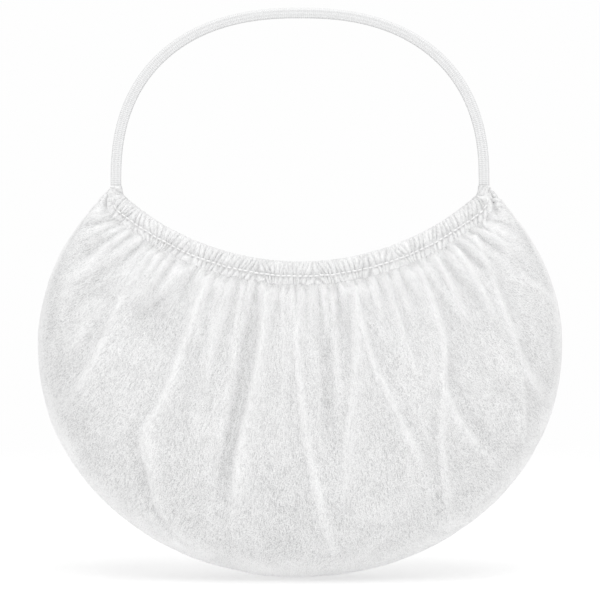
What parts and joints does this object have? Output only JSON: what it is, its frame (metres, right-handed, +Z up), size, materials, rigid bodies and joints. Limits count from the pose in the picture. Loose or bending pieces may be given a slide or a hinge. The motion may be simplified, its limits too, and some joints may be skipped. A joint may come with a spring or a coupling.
{
  "type": "disposable beard net",
  "caption": "Gathered pouch of thin white non-woven cloth with ruffled hems, hung on a flat knitted elastic that arches over as a head loop.",
  "frame": {"origin": "inner side of the head loop's crown, where the loop hangs", "axes": "+Z up, +X to the right seen from the front, the front faces -Y"},
  "size_m": [0.2118, 0.0874, 0.2301],
  "materials": {
    "nonwoven": "matt spunbond non-woven, slightly sheer, with fine random fibres",
    "elastic": "soft matt knitted elastic with lengthwise ribs"
  },
  "bodies": {
    "root": {"pouch": "nonwoven", "front_hem": "nonwoven", "back_hem": "nonwoven", "elastic_band": "elastic", "back_elastic": "elastic"}
  },
  "joints": []
}
